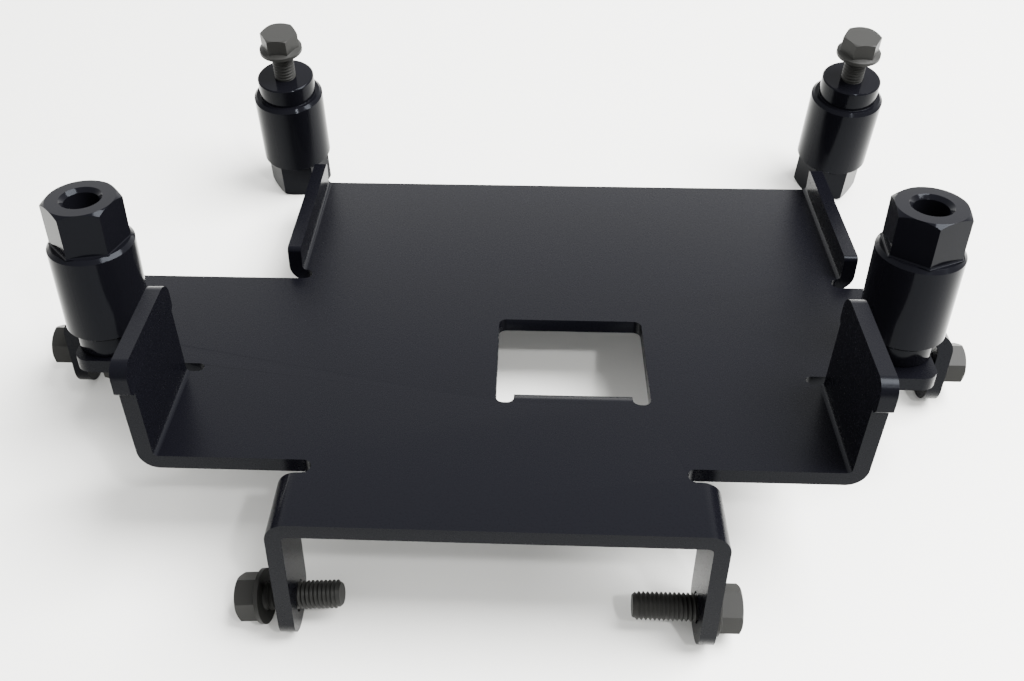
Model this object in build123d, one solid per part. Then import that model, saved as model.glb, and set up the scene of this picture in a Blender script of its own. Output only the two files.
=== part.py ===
from build123d import *
import math
import os

# A battery mounting tray as it stands on a table: one folded sheet steel tray on its own four legs,
# two standoff posts bolted to its side shelves, and two more of the same posts standing behind it.
# Everything is in millimetres. The tray is drawn with its plate level, front edge on y = 0 and the
# plate's top on z = 0, and is then set down on the table, which leans it back a little because the
# rear legs are shorter than the front ones.

# Sheet
SHEET = 4.5
BEND_INSIDE = 1.4
BEND_OUTSIDE = BEND_INSIDE + SHEET

# Flange bolts, all alike
BOLT_RADIUS = 4.0
BOLT_LENGTH = 22.4
BOLT_FLATS = 12.0
BOLT_HEAD_HEIGHT = 7.7
BOLT_FLANGE_RADIUS = 7.8
BOLT_FLANGE_EDGE = 1.2
BOLT_FLANGE_SLOPE = 22.0
BOLT_CHAMFER_ANGLE = 30.0
BOLT_TIP_CHAMFER = 0.7
BOLT_HOLE_CLEARANCE = 0.5
BOLT_HOLE = 2 * (BOLT_RADIUS + BOLT_HOLE_CLEARANCE)

# Legs: all four have the same width and the same rounded ends with a short flat
LEG_WIDTH = 19.3
LEG_END_FLAT = 2.3
LEG_END_RADIUS = (LEG_WIDTH - LEG_END_FLAT) / 2
FRONT_LEG_HALF_SPAN = 60.5
FRONT_LEG_DROP = 48.6
FRONT_LEG_HOLE_UP = 9.4
SIDE_LEG_DROP = 31.5
SIDE_LEG_HOLE_UP = 12.3
SIDE_LEG_BEND_INSIDE = 3.6

# Wings, and the tabs that stand up from their sides and slant a little towards the front
FRONT_SLOT = 4.9
FRONT_SLOT_DEPTH = 3.4
WING_FRONT = LEG_WIDTH + FRONT_SLOT
TAB_INNER_HALF_SPAN = 95.5
TAB_LEAN = 1.3
TAB_SLANT = 0.9
TAB_LENGTH = 36.6
TAB_HEIGHT = 34.0
TAB_HEAD_HEIGHT = 10.3
TAB_HEAD_FRONT_REACH = 2.6
TAB_HEAD_REAR_REACH = 1.3
TAB_FRONT_RADIUS = 4.3
TAB_REAR_RADIUS = 5.6
TAB_NOSE_CHAMFER = 1.6
TAB_TAIL_CHAMFER = 1.0
TAB_SLOT = 3.7
TAB_SLOT_DEPTH = 3.5

# Shelves outside the tabs: each holds a post and ends in a side leg
LEFT_POST_FROM_TAB = 27.2
LEFT_POST_BEHIND_FRONT = 12.1
RIGHT_POST_FROM_TAB = 25.8
RIGHT_POST_BEHIND_FRONT = 15.5
SHELF_FROM_POST = 9.6
SHELF_CORNER = 5.0
SHELF_LENGTH = 46.1
SIDE_LEG_FROM_SHELF = 11.8
SIDE_LEG_SETBACK = 4.4

# Rear part of the plate with its two low flanges, set off to the right
REAR_LENGTH = 64.1
REAR_LEFT_INNER = -69.3
REAR_RIGHT_INNER = 112.4
REAR_NOTCH = 5.0
REAR_NOTCH_DEPTH = 2.2
FLANGE_HEIGHT = 8.7
FLANGE_CORNER = 1.6

# Window, with a tongue of its own sheet folded down at its front edge
WINDOW_LEFT = -1.4
WINDOW_WIDTH = 45.2
WINDOW_FRONT = 57.1
WINDOW_LENGTH = 32.7
WINDOW_CORNER = 2.4
TONGUE_RELIEF = 5.2
TONGUE_RELIEF_FLAT = 0.8
TONGUE_RELIEF_SPARE = 1.3
TONGUE_DROP = 34.0
TONGUE_CORNER = 6.0

# Standoff posts
NECK_RADIUS = 10.45
NECK_LENGTH = 7.4
BODY_RADIUS = 12.9
BODY_LENGTH = 29.5
BODY_CHAMFER = 1.1
NECK_CHAMFER = 0.4
HEX_FLATS = 20.4
HEX_LENGTH = 14.2
HEX_TOP_CIRCLE = 20.4
HEX_CHAMFER_ANGLE = 35.0
HEX_BORE_RADIUS = 5.1
HEX_BORE_DEPTH = 22.0
HEX_BORE_SINK = 1.2
HEX_BORE_MOUTH = HEX_BORE_RADIUS + HEX_BORE_SINK
NECK_BORE_SPARE = 3.1
NECK_BORE_DEPTH = BOLT_LENGTH - SHEET + NECK_BORE_SPARE
THREAD_CLEARANCE = 0.05

# Rear posts, standing on the table apart from the tray: how far outside the flange and behind the edge
REAR_LEFT_POST_OUT = 15.3
REAR_LEFT_POST_BEHIND = 21.5
REAR_RIGHT_POST_OUT = 13.8
REAR_RIGHT_POST_BEHIND = 24.0

# How far each rear bolt has been screwed out of its post, and how the front left one hangs in its hole
REAR_LEFT_BOLT_RAISED = 11.4
REAR_RIGHT_BOLT_RAISED = 10.4
HANGING_BOLT_OUT = 5.2
HANGING_BOLT_TILT = 9.0
HANGING_BOLT_YAW = 3.3

# Turn of each post's hexagon about its axis, in degrees
FRONT_LEFT_HEX_TURN = 13.7
FRONT_RIGHT_HEX_TURN = -34.2
REAR_LEFT_HEX_TURN = -4.0
REAR_RIGHT_HEX_TURN = 7.0

OVERCUT = 1.0

# The bends start where the flat plate ends
FRONT_BEND = FRONT_LEG_HALF_SPAN - BEND_OUTSIDE
TAB_BEND = TAB_INNER_HALF_SPAN - BEND_INSIDE
REAR_LEFT_BEND = REAR_LEFT_INNER + BEND_INSIDE
REAR_RIGHT_BEND = REAR_RIGHT_INNER - BEND_INSIDE
TONGUE_BEND = WINDOW_FRONT - BEND_OUTSIDE

# Depths measured from the front edge, and where the posts stand
TAB_REAR = WING_FRONT + TAB_LENGTH
SHELF_FRONT = TAB_REAR + TAB_SLOT
WING_REAR = SHELF_FRONT + SHELF_LENGTH
SIDE_LEG_REAR = WING_REAR - SIDE_LEG_SETBACK
SIDE_LEG_FRONT = SIDE_LEG_REAR - LEG_WIDTH
FLANGE_FRONT = WING_REAR + REAR_NOTCH
REAR_EDGE = WING_REAR + REAR_LENGTH
LEFT_POST_HALF_SPAN = TAB_INNER_HALF_SPAN + LEFT_POST_FROM_TAB
LEFT_POST_BACK = SHELF_FRONT + LEFT_POST_BEHIND_FRONT
RIGHT_POST_HALF_SPAN = TAB_INNER_HALF_SPAN + RIGHT_POST_FROM_TAB
RIGHT_POST_BACK = SHELF_FRONT + RIGHT_POST_BEHIND_FRONT
POST_LENGTH = NECK_LENGTH + BODY_LENGTH + HEX_LENGTH


def prism(outline, base, height):
    """A flat outline, seen from above, pulled up from the level base."""
    return extrude(Plane.XY.offset(base) * outline, amount=height)


def side_plate(outline, start, thickness):
    """An outline in depth and height, pulled sideways from start."""
    return extrude(Plane.YZ.offset(start) * outline, amount=thickness)


def front_plate(outline, start, thickness):
    """An outline in width and height, pulled back from the depth start."""
    return extrude(Plane.XZ.offset(-start) * outline, amount=-thickness)


def right_bend(start, y0, y1, down, turn=90.0, inside=BEND_INSIDE):
    """A bend along the right side of a flat that ends at x = start, turned down or up by an angle."""
    section = Plane.YZ.offset(start) * Pos((y0 + y1) / 2, -SHEET / 2) * Rectangle(y1 - y0, SHEET)
    centre = -SHEET - inside if down else inside
    forward = (0, 1, 0) if down else (0, -1, 0)
    return revolve(section, Axis((start, 0, centre), forward), turn)


def leg_outline(front, top, drop, hole_up):
    """A leg seen from the side, from the end of its bend down to its rounded end, with its bolt hole."""
    middle = front + LEG_WIDTH / 2
    outline = Pos(middle, (top - drop) / 2) * Rectangle(LEG_WIDTH, drop + top)
    low = [corner for corner in outline.vertices() if corner.Y < top - OVERCUT]
    outline = fillet(low, LEG_END_RADIUS)
    return outline - Pos(middle, hole_up - drop) * Circle(BOLT_HOLE / 2)


def front_leg():
    """The right front leg with its bend."""
    inner = FRONT_LEG_HALF_SPAN - SHEET
    outline = leg_outline(0, -BEND_OUTSIDE, FRONT_LEG_DROP, FRONT_LEG_HOLE_UP)
    leg = side_plate(outline, inner, SHEET)
    return right_bend(FRONT_BEND, 0, LEG_WIDTH, True) + leg


def side_leg_half_span(post_half_span):
    """How far out a side leg's outer face is, from the place of the post on its shelf."""
    return post_half_span + SHELF_FROM_POST + SIDE_LEG_FROM_SHELF


def side_leg(half_span):
    """A right side leg with its bend, which has a larger radius than the others."""
    outside = SIDE_LEG_BEND_INSIDE + SHEET
    outline = leg_outline(SIDE_LEG_FRONT, -outside, SIDE_LEG_DROP, SIDE_LEG_HOLE_UP)
    leg = side_plate(outline, half_span - SHEET, SHEET)
    start = half_span - outside
    return right_bend(start, SIDE_LEG_FRONT, SIDE_LEG_REAR, True, inside=SIDE_LEG_BEND_INSIDE) + leg


def tab():
    """The right upright tab: a plain web and a head that is longer than it, front and back."""
    head_base = TAB_HEIGHT - TAB_HEAD_HEIGHT
    web_top = head_base + OVERCUT
    front = WING_FRONT - TAB_SLANT
    rear = TAB_REAR - TAB_SLANT
    web = make_face(Polyline(
        (WING_FRONT, BEND_INSIDE), (TAB_REAR, BEND_INSIDE), (rear, head_base), (rear, web_top),
        (front, web_top), (front, head_base), (WING_FRONT, BEND_INSIDE)))
    length = rear + TAB_HEAD_REAR_REACH - front + TAB_HEAD_FRONT_REACH
    middle = front - TAB_HEAD_FRONT_REACH + length / 2
    head = Pos(middle, TAB_HEIGHT - TAB_HEAD_HEIGHT / 2) * Rectangle(length, TAB_HEAD_HEIGHT)
    head = fillet(min(head.vertices(), key=lambda corner: corner.X - corner.Y), TAB_FRONT_RADIUS)
    head = fillet(max(head.vertices(), key=lambda corner: corner.X + corner.Y), TAB_REAR_RADIUS)
    head = chamfer(min(head.vertices(), key=lambda corner: corner.X + corner.Y), TAB_NOSE_CHAMFER)
    head = chamfer(max(head.vertices(), key=lambda corner: corner.X - corner.Y), TAB_TAIL_CHAMFER)
    upright = side_plate(web + head, BEND_INSIDE, SHEET)
    axis = Pos(TAB_BEND, 0, BEND_INSIDE)
    upright = axis * Rot(0, TAB_LEAN, 0) * Pos(0, 0, -BEND_INSIDE) * upright
    return right_bend(TAB_BEND, WING_FRONT, TAB_REAR, False, 90 - TAB_LEAN) + upright


def flange(y0, y1):
    """A low flange that stands up beside the rear plate, drawn with its bend starting at x = 0."""
    outline = Pos((y0 + y1) / 2, (BEND_INSIDE + FLANGE_HEIGHT) / 2)
    outline = outline * Rectangle(y1 - y0, FLANGE_HEIGHT - BEND_INSIDE)
    top = [corner for corner in outline.vertices() if corner.Y > FLANGE_HEIGHT / 2]
    outline = fillet(top, FLANGE_CORNER)
    return right_bend(0, y0, y1, False) + side_plate(outline, BEND_INSIDE, SHEET)


def slot(tip, outer, y0, y1):
    """A relief slot from the outer edge in to a round tip, along the width."""
    radius = (y1 - y0) / 2
    middle = (y0 + y1) / 2
    inward = math.copysign(radius, outer - tip)
    end = Pos(tip + inward, middle) * Circle(radius)
    return end + Pos((tip + inward + outer) / 2, middle) * Rectangle(abs(outer - tip - inward), y1 - y0)


def half_plate(post_half_span, post_back):
    """The right half of the plate as far as its bends, without the rear part."""
    shelf = post_half_span + SHELF_FROM_POST
    leg = side_leg_half_span(post_half_span) - SHEET - SIDE_LEG_BEND_INSIDE
    half = make_face(Polyline(
        (0, 0), (FRONT_BEND, 0), (FRONT_BEND, WING_FRONT), (TAB_BEND, WING_FRONT),
        (TAB_BEND, SHELF_FRONT), (shelf, SHELF_FRONT), (shelf, SIDE_LEG_FRONT), (leg, SIDE_LEG_FRONT),
        (leg, SIDE_LEG_REAR), (shelf, SIDE_LEG_REAR), (shelf, WING_REAR), (0, WING_REAR), (0, 0)))
    half = fillet(min(half.vertices(), key=lambda c: abs(c.X - shelf) + abs(c.Y - SHELF_FRONT)), SHELF_CORNER)
    half = half - slot(FRONT_BEND - FRONT_SLOT_DEPTH, FRONT_BEND + OVERCUT, LEG_WIDTH, WING_FRONT)
    half = half - slot(TAB_BEND - TAB_SLOT_DEPTH, TAB_BEND + OVERCUT, TAB_REAR, SHELF_FRONT)
    return half - Pos(post_half_span, post_back) * Circle(BOLT_HOLE / 2)


def plate():
    """The flat plate with its slots, notches, post holes and window."""
    left = half_plate(LEFT_POST_HALF_SPAN, LEFT_POST_BACK)
    rear_middle = (REAR_LEFT_BEND + REAR_RIGHT_BEND) / 2
    rear = Pos(rear_middle, (WING_REAR + REAR_EDGE) / 2)
    rear = rear * Rectangle(REAR_RIGHT_BEND - REAR_LEFT_BEND, REAR_EDGE - WING_REAR)
    outline = half_plate(RIGHT_POST_HALF_SPAN, RIGHT_POST_BACK) + mirror(left, Plane.YZ) + rear
    for bend, outward in ((REAR_LEFT_BEND, -1), (REAR_RIGHT_BEND, 1)):
        tip = bend - outward * REAR_NOTCH_DEPTH
        outline = outline - slot(tip, bend + outward * OVERCUT, WING_REAR, FLANGE_FRONT)
    return prism(outline, -SHEET, SHEET) - prism(window(), -SHEET - OVERCUT, SHEET + 2 * OVERCUT)


def window():
    """The window's outline: round rear corners and a bend relief at each end of its front edge."""
    middle = WINDOW_LEFT + WINDOW_WIDTH / 2
    opening = Pos(middle, WINDOW_FRONT + WINDOW_LENGTH / 2) * Rectangle(WINDOW_WIDTH, WINDOW_LENGTH)
    rear = [corner for corner in opening.vertices() if corner.Y > WINDOW_FRONT + OVERCUT]
    opening = fillet(rear, WINDOW_CORNER)
    tongue_width = WINDOW_WIDTH - 2 * TONGUE_RELIEF
    opening = opening + Pos(middle, (TONGUE_BEND + WINDOW_FRONT) / 2) * Rectangle(
        tongue_width, WINDOW_FRONT - TONGUE_BEND)
    for side in (-1, 1):
        relief = Rectangle(TONGUE_RELIEF, 2 * (BEND_OUTSIDE + TONGUE_RELIEF_SPARE))
        front = relief.vertices().group_by(Axis.Y)[0]
        relief = fillet(front, (TONGUE_RELIEF - TONGUE_RELIEF_FLAT) / 2)
        offset = side * (WINDOW_WIDTH - TONGUE_RELIEF) / 2
        opening = opening + Pos(middle + offset, WINDOW_FRONT) * relief
    return opening


def tongue():
    """The tongue cut out of the window and folded down at its front edge."""
    width = WINDOW_WIDTH - 2 * TONGUE_RELIEF
    middle = WINDOW_LEFT + WINDOW_WIDTH / 2
    bend = Pos(middle, TONGUE_BEND, 0) * Rot(0, 0, 90) * right_bend(0, -width / 2, width / 2, True)
    outline = Pos(middle, -(BEND_OUTSIDE + TONGUE_DROP) / 2) * Rectangle(width, TONGUE_DROP - BEND_OUTSIDE)
    low = [corner for corner in outline.vertices() if corner.Y < -TONGUE_DROP + OVERCUT]
    return bend + front_plate(fillet(low, TONGUE_CORNER), WINDOW_FRONT - SHEET, SHEET)


def tray():
    """The whole folded sheet, plate level."""
    same = front_leg() + tab()
    right = same + side_leg(side_leg_half_span(RIGHT_POST_HALF_SPAN))
    left = same + side_leg(side_leg_half_span(LEFT_POST_HALF_SPAN))
    sheet = plate() + right + mirror(left, Plane.YZ) + tongue()
    rear = flange(FLANGE_FRONT, REAR_EDGE)
    return sheet + Pos(REAR_RIGHT_BEND, 0, 0) * rear + Pos(REAR_LEFT_BEND, 0, 0) * mirror(rear, Plane.YZ)


def turned(points):
    """A solid turned from half of its section, points as (radius, height)."""
    return revolve(make_face(Plane.XZ * Polyline(*points, points[0])), Axis.Z)


def hexagon(flats, base, height, turn=0.0):
    """A hexagonal bar of a given width across its flats."""
    return Rot(0, 0, turn) * prism(RegularPolygon(flats / 2, 6, major_radius=False), base, height)


def nut_chamfer(top_radius, top, angle, height):
    """The turned envelope that rounds a hexagon's corners off at its top end."""
    reach = top_radius * 2
    fall = (reach - top_radius) * math.tan(math.radians(angle))
    return turned([(0, top), (top_radius, top), (reach, top - fall), (reach, top - height), (0, top - height)])


def standoff(turn):
    """A post with its neck down on z = 0 and its hexagon up."""
    shoulder = NECK_LENGTH + BODY_LENGTH
    body = turned([
        (0, 0), (NECK_RADIUS - NECK_CHAMFER, 0), (NECK_RADIUS, NECK_CHAMFER), (NECK_RADIUS, NECK_LENGTH),
        (BODY_RADIUS - BODY_CHAMFER, NECK_LENGTH), (BODY_RADIUS, NECK_LENGTH + BODY_CHAMFER),
        (BODY_RADIUS, shoulder - BODY_CHAMFER), (BODY_RADIUS - BODY_CHAMFER, shoulder), (0, shoulder)])
    head = hexagon(HEX_FLATS, shoulder, HEX_LENGTH, turn)
    head = head & nut_chamfer(HEX_TOP_CIRCLE / 2, POST_LENGTH, HEX_CHAMFER_ANGLE, HEX_LENGTH + OVERCUT)
    bore = turned([
        (0, POST_LENGTH - HEX_BORE_DEPTH), (HEX_BORE_RADIUS, POST_LENGTH - HEX_BORE_DEPTH),
        (HEX_BORE_RADIUS, POST_LENGTH - HEX_BORE_SINK), (HEX_BORE_MOUTH, POST_LENGTH),
        (HEX_BORE_MOUTH, POST_LENGTH + OVERCUT), (0, POST_LENGTH + OVERCUT)])
    thread = Pos(0, 0, NECK_BORE_DEPTH / 2) * Cylinder(BOLT_RADIUS + THREAD_CLEARANCE, NECK_BORE_DEPTH)
    return body + head - bore - thread


def bolt():
    """A flange bolt with its head's seat on z = 0, its head up and its shank down."""
    flange_top = BOLT_FLANGE_EDGE + (BOLT_FLANGE_RADIUS - BOLT_FLATS / 2) * math.tan(
        math.radians(BOLT_FLANGE_SLOPE))
    disc = turned([(0, 0), (BOLT_FLANGE_RADIUS, 0), (BOLT_FLANGE_RADIUS, BOLT_FLANGE_EDGE),
                   (BOLT_FLATS / 2, flange_top), (0, flange_top)])
    head = hexagon(BOLT_FLATS, BOLT_FLANGE_EDGE, BOLT_HEAD_HEIGHT - BOLT_FLANGE_EDGE)
    head = head & nut_chamfer(BOLT_FLATS / 2, BOLT_HEAD_HEIGHT, BOLT_CHAMFER_ANGLE, BOLT_HEAD_HEIGHT)
    shank = turned([(0, 0), (BOLT_RADIUS, 0), (BOLT_RADIUS, BOLT_TIP_CHAMFER - BOLT_LENGTH),
                    (BOLT_RADIUS - BOLT_TIP_CHAMFER, -BOLT_LENGTH), (0, -BOLT_LENGTH)])
    return disc + head + shank


def lean():
    """How far the tray leans back on the table, in degrees, from its longer front and shorter side legs."""
    fall = FRONT_LEG_DROP - SIDE_LEG_DROP
    return math.degrees(math.atan2(fall, SIDE_LEG_FRONT))


def set_down():
    """Where the level tray goes so that its four legs stand on the table, z = 0."""
    angle = math.radians(lean())
    back = LEG_WIDTH - LEG_END_RADIUS
    low = FRONT_LEG_DROP - LEG_END_RADIUS
    lift = LEG_END_RADIUS + back * math.sin(angle) + low * math.cos(angle)
    return Pos(0, 0, lift) * Rot(-lean(), 0, 0)


def tray_pieces():
    """The tray and what is fastened to it, plate level."""
    pieces = {"tray": tray()}
    for name, side, half_span, back, turn in (
            ("left", -1, LEFT_POST_HALF_SPAN, LEFT_POST_BACK, FRONT_LEFT_HEX_TURN),
            ("right", 1, RIGHT_POST_HALF_SPAN, RIGHT_POST_BACK, FRONT_RIGHT_HEX_TURN)):
        post_place = Pos(side * half_span, back, 0)
        pieces["front_standoff_" + name] = post_place * standoff(turn)
        pieces["front_standoff_bolt_" + name] = post_place * Pos(0, 0, -SHEET) * Rot(180, 0, 0) * bolt()
        outward = Rot(0, side * 90, 0)
        out = HANGING_BOLT_OUT if side < 0 else 0.0
        hang = Rot(0, 0, -HANGING_BOLT_YAW) * Rot(0, -HANGING_BOLT_TILT, 0) if side < 0 else Rot(0, 0, 0)
        hole = Pos(side * (FRONT_LEG_HALF_SPAN - SHEET / 2), LEG_WIDTH / 2,
                   FRONT_LEG_HOLE_UP - FRONT_LEG_DROP)
        seat = Pos(0, 0, SHEET / 2 + out)
        pieces["front_leg_bolt_" + name] = hole * hang * outward * seat * bolt()
        hole = Pos(side * (side_leg_half_span(half_span) - SHEET / 2), SIDE_LEG_FRONT + LEG_WIDTH / 2,
                   SIDE_LEG_HOLE_UP - SIDE_LEG_DROP)
        pieces["side_leg_bolt_" + name] = hole * outward * Pos(0, 0, SHEET / 2) * bolt()
    return pieces


def rear_posts(edge):
    """The two posts that stand on the table on their hexagons, behind the tray's rear edge."""
    pieces = {}
    left = REAR_LEFT_INNER - REAR_LEFT_POST_OUT
    right = REAR_RIGHT_INNER + REAR_RIGHT_POST_OUT
    for name, across, behind, turn, raised in (
            ("left", left, REAR_LEFT_POST_BEHIND, REAR_LEFT_HEX_TURN, REAR_LEFT_BOLT_RAISED),
            ("right", right, REAR_RIGHT_POST_BEHIND, REAR_RIGHT_HEX_TURN, REAR_RIGHT_BOLT_RAISED)):
        place = Pos(across, edge + behind, 0)
        pieces["rear_standoff_" + name] = place * Pos(0, 0, POST_LENGTH) * Rot(180, 0, 0) * standoff(turn)
        pieces["rear_standoff_bolt_" + name] = place * Pos(0, 0, POST_LENGTH + raised) * bolt()
    return pieces


def assembly():
    """Every piece where it stands, with the origin under the middle of the whole, on the table."""
    place = set_down()
    pieces = {name: place * piece for name, piece in tray_pieces().items()}
    rear_edge = place * Pos(0, REAR_EDGE, -SHEET)
    pieces.update(rear_posts(rear_edge.position.Y))
    box = Compound(children=[Compound(piece.wrapped) for piece in pieces.values()]).bounding_box()
    shift = Pos(-(box.min.X + box.max.X) / 2, -(box.min.Y + box.max.Y) / 2, 0)
    return {name: shift * piece for name, piece in pieces.items()}


os.makedirs("parts", exist_ok=True)
for name, piece in assembly().items():
    piece.label = name
    export_step(piece, "parts/" + name + ".step")
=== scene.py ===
import math

import bmesh
import bpy
from mathutils import Matrix, Vector


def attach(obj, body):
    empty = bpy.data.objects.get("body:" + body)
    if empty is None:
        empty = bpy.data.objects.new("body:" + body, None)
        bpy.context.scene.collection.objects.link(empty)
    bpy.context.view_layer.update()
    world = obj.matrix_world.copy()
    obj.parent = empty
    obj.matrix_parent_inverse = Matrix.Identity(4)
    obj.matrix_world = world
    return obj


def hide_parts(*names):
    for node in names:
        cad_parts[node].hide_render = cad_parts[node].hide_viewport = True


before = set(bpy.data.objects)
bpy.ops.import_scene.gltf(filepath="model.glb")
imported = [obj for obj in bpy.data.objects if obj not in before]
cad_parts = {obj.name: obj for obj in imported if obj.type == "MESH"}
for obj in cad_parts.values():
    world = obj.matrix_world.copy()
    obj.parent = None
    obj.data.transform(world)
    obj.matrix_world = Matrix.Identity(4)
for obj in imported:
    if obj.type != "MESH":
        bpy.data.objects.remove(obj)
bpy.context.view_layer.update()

bl_info = {
    "name": "Battery Mounting Tray",
    "version": (1, 0, 0),
    "blender": (4, 5, 0),
    "location": "View3D > Sidebar > Battery Tray",
    "description": "Dresses a folded steel battery tray, its standoff posts and its flange bolts",
    "category": "Object",
}

MM = 0.001

# A packed bolt's lengths, and how far its corners may lie from where they tell a bolt's ends and head.
SHANK_LENGTH = 22.4 * MM
BOLT_LENGTH = 30.1 * MM
END_PLAY = 0.01 * MM
LENGTH_PLAY = 0.02 * MM
HEAD_PLAY = 0.05 * MM

# Distances that count as one point, and the angles in degrees up to which faces are one flat face and
# an edge is shaded smooth.
MERGE_DISTANCE = 0.001 * MM
THREAD_MERGE_DISTANCE = 0.005 * MM
CUT_DISTANCE = 0.0001 * MM
FLAT_ANGLE = 0.5
SMOOTH_ANGLE = 35

# The thread: steps in one turn, the flat on its crest's two sides, the plain neck below the head and
# how far that runs into the thread, and how much the tip is tapered and how steeply.
THREAD_STEPS = 40
CREST_ROUND = 0.04 * MM
NECK_LENGTH = 0.9 * MM
NECK_OVERLAP = 0.4 * MM
TIP_TAPER = 0.9 * MM
TIP_SLOPE = 0.8

SIDES = ("left", "right")
STANDOFFS = ["%s_standoff_%s" % (end, side) for end in ("front", "rear") for side in SIDES]
BOLT_PLACES = ("front_standoff", "rear_standoff", "front_leg", "side_leg")
BOLTS = ["%s_bolt_%s" % (place, side) for place in BOLT_PLACES for side in SIDES]

# Where the photographer stood, in millimetres from the point on the table under the tray's middle,
# and the directions of the picture's right and of its upper edge.
CAMERA_PLACE = (5.685, -250.869, 301.627)
CAMERA_RIGHT = (0.99899, 0.04165, -0.01682)
CAMERA_UP = (-0.01852, 0.72312, 0.69048)

# The lights' places, widths and the height they are turned to, and half the table's width, in metres.
KEY_PLACE = (0.7, 0.12, 1.25)
KEY_WIDTH = 0.9
LAMP_PLACE = (0.35, -0.5, 0.9)
LAMP_WIDTH = 0.05
AIM_HEIGHT = 0.02
TABLE_HALF_WIDTH = 3.0

# Real coats have an IOR of about 1.5. These are lower, because the photograph's table is overexposed
# and would shine in them too brightly.
POWDER_COAT_IOR = 1.13
ENAMEL_IOR = 1.12
PHOSPHATE_IOR = 1.14
# The black coats' shine is a little cooler than the light.
SHINE_COLOUR = (0.84, 0.9, 1.0, 1.0)

# Widths of one bump of the finishes. The real ones are finer than the picture can show.
ENAMEL_GRAIN = 0.8 * MM
PHOSPHATE_GRAIN = 0.5 * MM


def hex_colour(code):
    """An sRGB hex colour as the linear colour that shaders take."""
    parts = [int(code[i:i + 2], 16) / 255 for i in (0, 2, 4)]
    return [c / 12.92 if c <= 0.04045 else ((c + 0.055) / 1.055) ** 2.4 for c in parts]


class TraySettings(bpy.types.PropertyGroup):
    """Sizes and colours of the folded sheet."""
    edge_radius: bpy.props.FloatProperty(
        name="Edge Radius", description="How round the powder coat leaves the sheet's cut edges",
        default=0.45 * MM, min=0.05 * MM, max=1.0 * MM, subtype="DISTANCE", unit="LENGTH", precision=5)
    grain: bpy.props.FloatProperty(
        name="Coat Grain", description="Width of one bump of the powder coat's fine texture",
        default=0.7 * MM, min=0.1 * MM, max=3.0 * MM, subtype="DISTANCE", unit="LENGTH", precision=5)
    colour: bpy.props.FloatVectorProperty(
        name="Coat Colour", description="Colour of the powder coat", size=3, subtype="COLOR",
        default=hex_colour("060609"), min=0, max=1)


class PostSettings(bpy.types.PropertyGroup):
    """Sizes and colours of the standoff posts."""
    foot_radius: bpy.props.FloatProperty(
        name="Foot Radius", description="How round the inside corner at the hexagon's foot is",
        default=0.6 * MM, min=0.05 * MM, max=1.0 * MM, subtype="DISTANCE", unit="LENGTH", precision=5)
    edge_radius: bpy.props.FloatProperty(
        name="Edge Radius", description="How round the turned and milled edges are",
        default=0.2 * MM, min=0.02 * MM, max=0.6 * MM, subtype="DISTANCE", unit="LENGTH", precision=5)
    colour: bpy.props.FloatVectorProperty(
        name="Paint Colour", description="Colour of the posts' paint", size=3, subtype="COLOR",
        default=hex_colour("08080B"), min=0, max=1)


class BoltSettings(bpy.types.PropertyGroup):
    """Sizes and colours of the flange bolts."""
    pitch: bpy.props.FloatProperty(
        name="Thread Pitch", description="Distance from one thread crest to the next",
        default=1.25 * MM, min=0.5 * MM, max=3.0 * MM, subtype="DISTANCE", unit="LENGTH", precision=5)
    crest_radius: bpy.props.FloatProperty(
        name="Crest Radius", description="Radius over the thread's crests",
        default=3.96 * MM, min=2.0 * MM, max=6.0 * MM, subtype="DISTANCE", unit="LENGTH", precision=5)
    root_radius: bpy.props.FloatProperty(
        name="Root Radius", description="Radius at the bottom of the thread",
        default=3.36 * MM, min=1.5 * MM, max=5.5 * MM, subtype="DISTANCE", unit="LENGTH", precision=5)
    edge_radius: bpy.props.FloatProperty(
        name="Edge Radius", description="How round the forged edges of the head are",
        default=0.25 * MM, min=0.02 * MM, max=0.6 * MM, subtype="DISTANCE", unit="LENGTH", precision=5)
    colour: bpy.props.FloatVectorProperty(
        name="Phosphate Colour", description="Colour of the oiled phosphate coat", size=3, subtype="COLOR",
        default=hex_colour("212120"), min=0, max=1)


class StudioSettings(bpy.types.PropertyGroup):
    """Camera, floor and lights."""
    lens: bpy.props.FloatProperty(
        name="Lens", description="Focal length of the camera on a 36 mm sensor",
        default=39.396, min=10, max=200, unit="CAMERA")
    shift_x: bpy.props.FloatProperty(
        name="Shift Across", description="Sideways shift of the picture, as a share of its width",
        default=0.037)
    shift_y: bpy.props.FloatProperty(
        name="Shift Up", description="Upward shift of the picture, as a share of its width",
        default=-0.05935)
    floor_colour: bpy.props.FloatVectorProperty(
        name="Table Colour", description="Colour of the table top", size=3, subtype="COLOR",
        default=hex_colour("E6E6E2"), min=0, max=1)
    key_strength: bpy.props.FloatProperty(
        name="Key Light", description="Strength of the large soft light", default=132, min=0, unit="POWER")
    lamp_strength: bpy.props.FloatProperty(
        name="Lamp", description="Strength of the small lamp that gives the glints",
        default=5, min=0, unit="POWER")
    sky_strength: bpy.props.FloatProperty(
        name="Room Light", description="Strength of the light from the room, straight above",
        default=1.2, min=0)
    back_strength: bpy.props.FloatProperty(
        name="Back Wall Light", description="Strength of the light from the foot of the wall behind the tray",
        default=5.4, min=0)
    front_strength: bpy.props.FloatProperty(
        name="Front Wall Light", description="Strength of the light from the wall's foot behind the camera",
        default=0.9, min=0)


def add_node(tree, kind, settings=None, links=None):
    """Add one shader node, set its properties and sockets, and link sockets to other nodes' outputs."""
    node = tree.nodes.new(kind)
    for name, value in (settings or {}).items():
        if name in node.inputs:
            node.inputs[name].default_value = value
        else:
            setattr(node, name, value)
    for name, output in (links or {}).items():
        tree.links.new(output, node.inputs[name])
    return node


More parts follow.
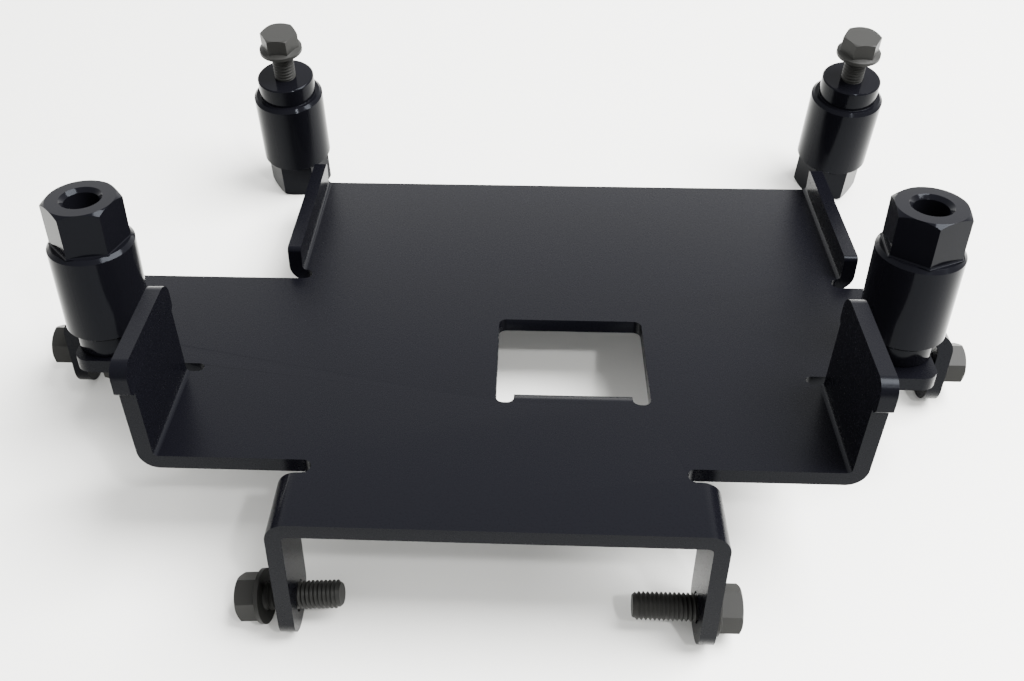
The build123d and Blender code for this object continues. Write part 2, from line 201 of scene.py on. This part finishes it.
def new_material(name):
    """A material with an empty node tree but for its output and shader."""
    material = bpy.data.materials.new(name)
    material.use_nodes = True
    tree = material.node_tree
    tree.nodes.clear()
    output = tree.nodes.new("ShaderNodeOutputMaterial")
    shader = tree.nodes.new("ShaderNodeBsdfPrincipled")
    tree.links.new(shader.outputs["BSDF"], output.inputs["Surface"])
    return material, tree, shader


def satin_powder_coat(settings):
    """Black polyester powder coat, sprayed and baked: a soft even sheen over very fine bumps."""
    material, tree, shader = new_material("satin_powder_coat")
    shader.inputs["Base Color"].default_value = (*settings.colour, 1)
    shader.inputs["IOR"].default_value = POWDER_COAT_IOR
    shader.inputs["Specular Tint"].default_value = SHINE_COLOUR
    place = add_node(tree, "ShaderNodeTexCoord")
    grain = add_node(tree, "ShaderNodeTexNoise",
                     {"Scale": 1 / settings.grain, "Detail": 2.0, "Roughness": 0.6},
                     {"Vector": place.outputs["Object"]})
    rough = add_node(tree, "ShaderNodeMapRange", {"To Min": 0.24, "To Max": 0.32},
                     {"Value": grain.outputs["Fac"]})
    bump = add_node(tree, "ShaderNodeBump", {"Strength": 0.25, "Distance": settings.grain * 0.1},
                    {"Height": grain.outputs["Fac"]})
    tree.links.new(rough.outputs["Result"], shader.inputs["Roughness"])
    tree.links.new(bump.outputs["Normal"], shader.inputs["Normal"])
    return material


def gloss_post_paint(settings):
    """Black enamel sprayed over turned steel: a clear gloss that is not quite even."""
    material, tree, shader = new_material("gloss_post_paint")
    shader.inputs["Base Color"].default_value = (*settings.colour, 1)
    shader.inputs["IOR"].default_value = ENAMEL_IOR
    shader.inputs["Specular Tint"].default_value = SHINE_COLOUR
    place = add_node(tree, "ShaderNodeTexCoord")
    grain = add_node(tree, "ShaderNodeTexNoise", {"Scale": 1 / ENAMEL_GRAIN, "Detail": 2.0},
                     {"Vector": place.outputs["Object"]})
    rough = add_node(tree, "ShaderNodeMapRange", {"To Min": 0.09, "To Max": 0.15},
                     {"Value": grain.outputs["Fac"]})
    tree.links.new(rough.outputs["Result"], shader.inputs["Roughness"])
    return material


def oiled_phosphate(settings):
    """Manganese phosphate on forged steel, oiled: dark grey crystals with a dull shine."""
    material, tree, shader = new_material("oiled_phosphate")
    shader.inputs["Base Color"].default_value = (*settings.colour, 1)
    shader.inputs["IOR"].default_value = PHOSPHATE_IOR
    place = add_node(tree, "ShaderNodeTexCoord")
    grain = add_node(tree, "ShaderNodeTexNoise", {"Scale": 1 / PHOSPHATE_GRAIN, "Detail": 3.0},
                     {"Vector": place.outputs["Object"]})
    rough = add_node(tree, "ShaderNodeMapRange", {"To Min": 0.3, "To Max": 0.44},
                     {"Value": grain.outputs["Fac"]})
    tree.links.new(rough.outputs["Result"], shader.inputs["Roughness"])
    return material


def table_top(settings):
    """White melamine table top: even and pale, with a low sheen."""
    material, tree, shader = new_material("table_top")
    shader.inputs["Base Color"].default_value = (*settings.floor_colour, 1)
    shader.inputs["Roughness"].default_value = 0.45
    return material


def new_object(name, mesh):
    """An object at the origin with this mesh, in the scene."""
    piece = bpy.data.objects.new(name, mesh)
    bpy.context.scene.collection.objects.link(piece)
    return piece


def merged_copy(node):
    """A copy of a frame piece's mesh with its loose triangles merged into whole faces."""
    mesh = bmesh.new()
    mesh.from_mesh(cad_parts[node].data)
    bmesh.ops.remove_doubles(mesh, verts=mesh.verts, dist=MERGE_DISTANCE)
    bmesh.ops.dissolve_limit(mesh, angle_limit=math.radians(FLAT_ANGLE), use_dissolve_boundaries=False,
                             verts=mesh.verts, edges=mesh.edges, delimit={"NORMAL"})
    return mesh


def round_edges(mesh, radius, inside_radius, segments=3, sharp=30):
    """Round the sharp inside corners of a mesh, then its sharp outside edges."""
    for convex, offset in ((False, inside_radius), (True, radius)):
        edges = [e for e in mesh.edges
                 if e.is_manifold and e.is_convex == convex and e.calc_face_angle(0) > math.radians(sharp)]
        bmesh.ops.bevel(mesh, geom=edges, offset=offset, offset_type="OFFSET", segments=segments, profile=0.5,
                        affect="EDGES", clamp_overlap=True, material=-1)


def bolt_axis(mesh):
    """The middle of a bolt's tip and the direction from there to its head, from its two flat ends."""
    ends = []
    for face in mesh.faces:
        middle = face.calc_center_median()
        depths = [(middle - vert.co).dot(face.normal) for vert in mesh.verts]
        if min(depths) > -END_PLAY and abs(max(depths) - BOLT_LENGTH) < LENGTH_PLAY:
            rim = [vert.co for vert, depth in zip(mesh.verts, depths) if depth < END_PLAY]
            centre = sum(rim, Vector()) / len(rim)
            ends.append(((rim[0] - centre).length, centre, -face.normal))
    _, foot, up = min(ends, key=lambda end: end[0])
    return foot, up


def cut_flat(mesh, height, keep_above):
    """Cut a mesh level at a height, keep one side and close it."""
    geometry = [*mesh.verts, *mesh.edges, *mesh.faces]
    cut = bmesh.ops.bisect_plane(mesh, geom=geometry, dist=CUT_DISTANCE, plane_co=(0, 0, height),
                                 plane_no=(0, 0, -1 if keep_above else 1), clear_outer=True)
    rim = [part for part in cut["geom_cut"] if isinstance(part, bmesh.types.BMEdge)]
    bmesh.ops.edgeloop_fill(mesh, edges=rim)


def threaded_shank(length, settings):
    """A shank standing on its tip at the origin: a rolled thread with a plain neck below the head."""
    pitch = settings.pitch
    crest = settings.crest_radius
    root = settings.root_radius
    top = length - NECK_LENGTH
    turns = math.ceil(top / pitch) + 2
    # Each point of one turn's outline: its radius, and its height as a share of the pitch.
    profile = ((root, 0.0), (root, 0.1), (crest - CREST_ROUND, 0.42), (crest, 0.46), (crest, 0.56),
               (crest - CREST_ROUND, 0.6), (root, 0.92), (root, 1.0))
    mesh = bmesh.new()
    points = [mesh.verts.new((radius, 0, (share - 1) * pitch)) for radius, share in profile]
    edges = [mesh.edges.new(pair) for pair in zip(points, points[1:])]
    steps = THREAD_STEPS * turns
    bmesh.ops.spin(mesh, geom=points + edges, cent=(0, 0, 0), axis=(0, 0, 1), angle=math.tau * turns,
                   steps=steps, dvec=(0, 0, pitch / THREAD_STEPS), use_duplicate=False)
    bmesh.ops.remove_doubles(mesh, verts=mesh.verts, dist=THREAD_MERGE_DISTANCE)
    cut_flat(mesh, 0, True)
    cut_flat(mesh, top, False)
    for vert in mesh.verts:
        reach = math.hypot(vert.co.x, vert.co.y)
        limit = crest - TIP_TAPER + vert.co.z * TIP_SLOPE
        if reach > limit:
            vert.co.x *= limit / reach
            vert.co.y *= limit / reach
    neck = (crest + root) / 2
    outline = ((0, top - NECK_OVERLAP), (neck, top - NECK_OVERLAP), (neck, length - NECK_OVERLAP),
               (crest, length))
    points = [mesh.verts.new((radius, 0, height)) for radius, height in outline]
    edges = [mesh.edges.new(pair) for pair in zip(points, points[1:])]
    bmesh.ops.spin(mesh, geom=points + edges, cent=(0, 0, 0), axis=(0, 0, 1), angle=math.tau,
                   steps=THREAD_STEPS, use_merge=True, use_duplicate=False)
    bmesh.ops.recalc_face_normals(mesh, faces=mesh.faces)
    data = bpy.data.meshes.new("shank")
    mesh.to_mesh(data)
    mesh.free()
    return data


def bolt_mesh(node, settings, thread):
    """A frame bolt's mesh with its edges rounded and its plain shank changed for a threaded one."""
    mesh = merged_copy(node)
    foot, up = bolt_axis(mesh)
    shank = [face for face in mesh.faces
             if min((vert.co - foot).dot(up) for vert in face.verts) < SHANK_LENGTH - HEAD_PLAY]
    bmesh.ops.delete(mesh, geom=shank, context="FACES")
    round_edges(mesh, settings.edge_radius, settings.edge_radius)
    placed = thread.copy()
    placed.transform(Matrix.Translation(foot) @ up.to_track_quat("Z", "Y").to_matrix().to_4x4())
    mesh.from_mesh(placed)
    bpy.data.meshes.remove(placed)
    return mesh


def finish_piece(name, mesh, material, nodes):
    """Make the object, shade it smooth by angle, give it its finish and let it stand for its nodes."""
    data = bpy.data.meshes.new(name)
    mesh.to_mesh(data)
    mesh.free()
    data.materials.append(material)
    for face in data.polygons:
        face.use_smooth = True
    data.set_sharp_from_angle(angle=math.radians(SMOOTH_ANGLE))
    piece = new_object(name, data)
    even = piece.modifiers.new("even_shading", "WEIGHTED_NORMAL")
    even.mode = "FACE_AREA"
    even.keep_sharp = True
    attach(piece, "root")
    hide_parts(*nodes)
    return piece


class SheetOperator(bpy.types.Operator):
    """Powder coat the folded sheet and round its cut edges"""
    bl_idname = "battery_tray.sheet"
    bl_label = "Folded Sheet"

    def execute(self, context):
        settings = context.scene.battery_tray_sheet
        mesh = merged_copy("tray")
        round_edges(mesh, settings.edge_radius, settings.edge_radius)
        finish_piece("tray_sheet", mesh, satin_powder_coat(settings), ["tray"])
        return {"FINISHED"}


class PostsOperator(bpy.types.Operator):
    """Paint the four standoff posts"""
    bl_idname = "battery_tray.posts"
    bl_label = "Standoff Posts"

    def execute(self, context):
        settings = context.scene.battery_tray_posts
        paint = gloss_post_paint(settings)
        for node in STANDOFFS:
            mesh = merged_copy(node)
            round_edges(mesh, settings.edge_radius, settings.foot_radius)
            finish_piece(node + "_post", mesh, paint, [node])
        return {"FINISHED"}


class BoltsOperator(bpy.types.Operator):
    """Thread and phosphate the flange bolts"""
    bl_idname = "battery_tray.bolts"
    bl_label = "Flange Bolts"

    def execute(self, context):
        settings = context.scene.battery_tray_bolts
        phosphate = oiled_phosphate(settings)
        thread = threaded_shank(SHANK_LENGTH, settings)
        for node in BOLTS:
            mesh = bolt_mesh(node, settings, thread)
            finish_piece(node + "_threaded", mesh, phosphate, [node])
        bpy.data.meshes.remove(thread)
        return {"FINISHED"}


class StageOperator(bpy.types.Operator):
    """Set up the table, the soft light and the camera"""
    bl_idname = "battery_tray.stage"
    bl_label = "Table, Light and Camera"

    def execute(self, context):
        settings = context.scene.battery_tray_studio
        mesh = bmesh.new()
        bmesh.ops.create_grid(mesh, x_segments=1, y_segments=1, size=TABLE_HALF_WIDTH)
        data = bpy.data.meshes.new("table")
        mesh.to_mesh(data)
        mesh.free()
        data.materials.append(table_top(settings))
        table = new_object("table", data)
        self.add_camera(context, settings)
        self.add_lights(context, settings)
        return {"FINISHED"}

    def add_camera(self, context, settings):
        """A camera where the photographer stood."""
        data = bpy.data.cameras.new("camera")
        data.lens = settings.lens
        data.shift_x = settings.shift_x
        data.shift_y = settings.shift_y
        camera = new_object("camera", data)
        right = Vector(CAMERA_RIGHT).normalized()
        up = Vector(CAMERA_UP).normalized()
        back = right.cross(up).normalized()
        turn = Matrix((right, up, back)).transposed().to_4x4()
        camera.matrix_world = Matrix.Translation(Vector(CAMERA_PLACE) * MM) @ turn
        context.scene.camera = camera

    def add_lights(self, context, settings):
        """A large soft light from the right and a small lamp, in a pale room brightest at its back."""
        world = bpy.data.worlds.new("room")
        world.use_nodes = True
        tree = world.node_tree
        background = tree.nodes["Background"]
        background.inputs["Color"].default_value = (1, 1, 1, 1)
        place = add_node(tree, "ShaderNodeTexCoord")
        parts = add_node(tree, "ShaderNodeSeparateXYZ", {}, {"Vector": place.outputs["Generated"]})
        wall = add_node(tree, "ShaderNodeMapRange",
                        {"From Min": -1.0, "To Min": settings.front_strength,
                         "To Max": settings.back_strength},
                        {"Value": parts.outputs["Y"]})
        strength = add_node(tree, "ShaderNodeMapRange", {"To Max": settings.sky_strength},
                            {"Value": parts.outputs["Z"], "To Min": wall.outputs["Result"]})
        tree.links.new(strength.outputs["Result"], background.inputs["Strength"])
        context.scene.world = world
        self.add_area("key", KEY_PLACE, KEY_WIDTH, settings.key_strength)
        self.add_area("lamp", LAMP_PLACE, LAMP_WIDTH, settings.lamp_strength)

    def add_area(self, name, place, width, strength):
        """A square light at a place in metres, turned towards the tray."""
        data = bpy.data.lights.new(name, "AREA")
        data.shape = "SQUARE"
        data.size = width
        data.energy = strength
        light = new_object(name, data)
        place = Vector(place)
        aim = (Vector((0, 0, AIM_HEIGHT)) - place).to_track_quat("-Z", "Y")
        light.matrix_world = Matrix.Translation(place) @ aim.to_matrix().to_4x4()


class TrayPanel(bpy.types.Panel):
    """Sizes, colours and steps of the battery tray"""
    bl_idname = "VIEW3D_PT_battery_tray"
    bl_label = "Battery Tray"
    bl_space_type = "VIEW_3D"
    bl_region_type = "UI"
    bl_category = "Battery Tray"

    def draw(self, context):
        scene = context.scene
        for label, settings, operator in (
                ("Folded Sheet", scene.battery_tray_sheet, SheetOperator),
                ("Standoff Posts", scene.battery_tray_posts, PostsOperator),
                ("Flange Bolts", scene.battery_tray_bolts, BoltsOperator),
                ("Studio", scene.battery_tray_studio, StageOperator)):
            box = self.layout.box()
            box.label(text=label)
            for name in settings.__annotations__:
                box.prop(settings, name)
            box.operator(operator.bl_idname)


GROUPS = {
    "battery_tray_sheet": TraySettings,
    "battery_tray_posts": PostSettings,
    "battery_tray_bolts": BoltSettings,
    "battery_tray_studio": StudioSettings,
}
OPERATORS = (SheetOperator, PostsOperator, BoltsOperator, StageOperator)


def register():
    """Register the classes and hang the settings on the scene."""
    for group in GROUPS.values():
        bpy.utils.register_class(group)
    for name, group in GROUPS.items():
        setattr(bpy.types.Scene, name, bpy.props.PointerProperty(type=group))
    for kind in (*OPERATORS, TrayPanel):
        bpy.utils.register_class(kind)


def unregister():
    """Take the settings and the classes away again."""
    for kind in (TrayPanel, *reversed(OPERATORS)):
        bpy.utils.unregister_class(kind)
    for name in GROUPS:
        delattr(bpy.types.Scene, name)
    for group in reversed(list(GROUPS.values())):
        bpy.utils.unregister_class(group)


def main():
    """Dress the tray in order."""
    register()
    bpy.ops.battery_tray.sheet()
    bpy.ops.battery_tray.posts()
    bpy.ops.battery_tray.bolts()
    bpy.ops.battery_tray.stage()


if __name__ == "__main__":
    main()
